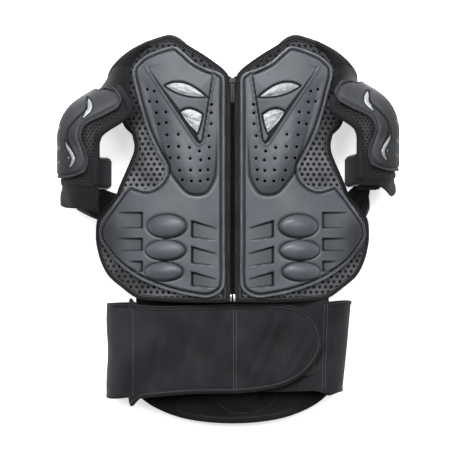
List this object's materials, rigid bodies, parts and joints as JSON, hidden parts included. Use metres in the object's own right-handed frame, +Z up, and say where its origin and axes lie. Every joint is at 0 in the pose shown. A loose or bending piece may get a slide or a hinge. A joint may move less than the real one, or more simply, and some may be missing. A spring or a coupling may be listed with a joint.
{
  "type": "body armour vest",
  "caption": "Child's motocross armour vest with ridged chest plates, zip front, spine plates, arm guards and a wide hook-and-loop waist belt.",
  "frame": {"origin": "centre of the bounding box in X and Y, on the surface that the vest lies on", "axes": "+X to the wearer's left, +Y from hem to head, +Z up out of the chest"},
  "size_m": [0.434, 0.4884, 0.0871],
  "materials": {
    "moulded_shell": "satin moulded polyethylene, charcoal",
    "silver_insert": "metallised film, bright silver",
    "spacer_mesh": "honeycomb spacer mesh",
    "binding_tape": "ribbed tape",
    "belt_fabric": "brushed loop fabric over foam",
    "hook_and_loop": "hook and loop",
    "elastic": "ribbed elastic",
    "sleeve_fabric": "padded knit",
    "foam": "closed-cell foam",
    "zip_coil": "nylon coil",
    "zip_dark_metal": "black lacquer",
    "zip_metal": "bright",
    "rivet_metal": "gunmetal"
  },
  "bodies": {
    "back": {"back_panel": "spacer_mesh", "back_binding": "binding_tape", "spine_pad": "foam", "upper_back_plate": "moulded_shell", "spine_plate_1": "moulded_shell", "spine_plate_2": "moulded_shell", "spine_plate_3": "moulded_shell", "spine_plate_4": "moulded_shell", "spine_rivets": "rivet_metal", "lumbar_pad": "foam", "shoulder_yoke_l": "elastic", "shoulder_yoke_r": "elastic", "shoulder_panel_l": "spacer_mesh", "shoulder_panel_r": "spacer_mesh", "side_elastic_l": "elastic", "side_elastic_r": "elastic", "belt_back": "belt_fabric", "belt_fold_l": "belt_fabric", "belt_fold_r": "belt_fabric"},
    "front_left": {"front_mesh_l": "spacer_mesh", "front_binding_l": "binding_tape", "chest_foam_l": "foam", "chest_plate_l": "moulded_shell", "chest_inserts_l": "silver_insert", "zip_tape_l": "binding_tape", "zip_coil_l": "zip_coil", "zip_box": "zip_metal"},
    "front_right": {"front_mesh_r": "spacer_mesh", "front_binding_r": "binding_tape", "chest_foam_r": "foam", "chest_plate_r": "moulded_shell", "chest_inserts_r": "silver_insert", "zip_tape_r": "binding_tape", "zip_coil_r": "zip_coil", "zip_pin": "zip_metal"},
    "slider": {"zip_slider": "zip_dark_metal"},
    "pull": {"zip_pull": "zip_dark_metal"},
    "arm_left": {"arm_shell_l": "moulded_shell", "arm_pad_l": "sleeve_fabric", "arm_inserts_l": "silver_insert", "arm_strap_l": "elastic", "strap_tab_l": "elastic", "cuff_strap_l": "elastic", "cuff_tab_l": "elastic"},
    "arm_right": {"arm_shell_r": "moulded_shell", "arm_pad_r": "sleeve_fabric", "arm_inserts_r": "silver_insert", "arm_strap_r": "elastic", "strap_tab_r": "elastic", "cuff_strap_r": "elastic", "cuff_tab_r": "elastic"},
    "flap": {"belt_flap": "belt_fabric", "belt_flap_binding": "binding_tape", "belt_hook_patch": "hook_and_loop"},
    "under": {"belt_under": "belt_fabric", "belt_loop_patch": "hook_and_loop"}
  },
  "joints": [
    {"name": "front_left_open", "type": "hinge", "parent": "back", "child": "front_left", "pos_m": [0.09246, 0.24267, 0.055], "axis": [-0.281, 0.9547, 0.0981], "range_deg": [0, 45]},
    {"name": "front_right_open", "type": "hinge", "parent": "back", "child": "front_right", "pos_m": [-0.08146, 0.24267, 0.055], "axis": [-0.281, -0.9547, -0.0981], "range_deg": [0, 45]},
    {"name": "zip_slide", "type": "slide", "parent": "front_left", "child": "slider", "axis": [0, -1, 0], "range_m": [0, 0.255]},
    {"name": "zip_pull_swing", "type": "hinge", "parent": "slider", "child": "pull", "pos_m": [0.0055, 0.18419, 0.0784], "axis": [-1, 0, 0], "range_deg": [0, 165]},
    {"name": "arm_left_swing", "type": "hinge", "parent": "back", "child": "arm_left", "pos_m": [0.1555, 0.19179, 0.044], "axis": [0, 0, 1], "range_deg": [0, 40]},
    {"name": "arm_right_swing", "type": "hinge", "parent": "back", "child": "arm_right", "pos_m": [-0.1555, 0.18279, 0.044], "axis": [0, 0, -1], "range_deg": [0, 40]},
    {"name": "belt_flap_open", "type": "hinge", "parent": "back", "child": "flap", "pos_m": [-0.12485, -0.14921, 0.058], "axis": [0, -1, 0], "range_deg": [0, 165]},
    {"name": "belt_under_tuck", "type": "hinge", "parent": "back", "child": "under", "pos_m": [0.12835, -0.14921, 0.0475], "axis": [0, -1, 0], "range_deg": [0, 8]}
  ]
}
